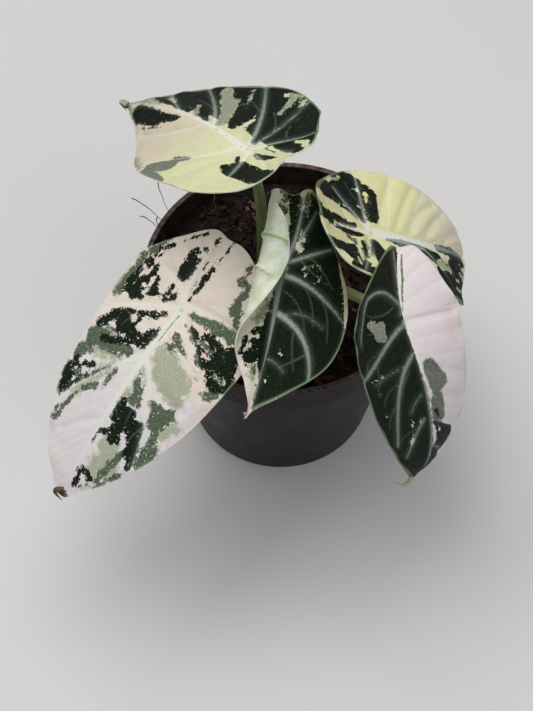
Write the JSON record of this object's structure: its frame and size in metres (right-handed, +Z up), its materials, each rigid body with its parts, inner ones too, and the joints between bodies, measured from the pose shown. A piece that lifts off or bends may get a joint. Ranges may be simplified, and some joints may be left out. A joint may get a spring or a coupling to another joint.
{
  "type": "potted alocasia",
  "caption": "Small alocasia house plant with shield-shaped variegated leaves on slender stalks, in a round tapered nursery pot of bark mix.",
  "frame": {"origin": "middle of the pot's flat underside", "axes": "+Z up along the pot's axis; -Y is the front, the side the picture was taken from above; +X is to the right of someone looking at the front"},
  "size_m": [0.1725, 0.1638, 0.2047],
  "materials": {
    "pot_plastic": "matt, dark brown, dusty, with fine scratches",
    "bark_mix": "rough, dark red-brown bark chips and coconut fibre",
    "crown_skin": "dull, brown papery leaf bases",
    "stalk_green": "satin olive green with fine lengthwise streaks",
    "blade_back_left": "velvety; dark green half and cream half, broad pale midrib",
    "blade_front_left": "satin; pinkish white with dark green and grey-green patches, silver-white veins",
    "blade_centre": "velvety; dark green with silver veins, pale underside on the rolled half",
    "blade_right": "velvety; cream half and dark green half with silver veins",
    "blade_front_right": "velvety; dark green half and pinkish white half with a grey-green patch"
  },
  "bodies": {
    "root": {"pot": "pot_plastic", "soil": "bark_mix", "crown": "crown_skin", "stalk_back_left": "stalk_green", "blade_back_left": "blade_back_left", "stalk_front_left": "stalk_green", "blade_front_left": "blade_front_left", "stalk_centre": "stalk_green", "blade_centre": "blade_centre", "stalk_right": "stalk_green", "blade_right": "blade_right", "stalk_front_right": "stalk_green", "blade_front_right": "blade_front_right"}
  },
  "joints": []
}
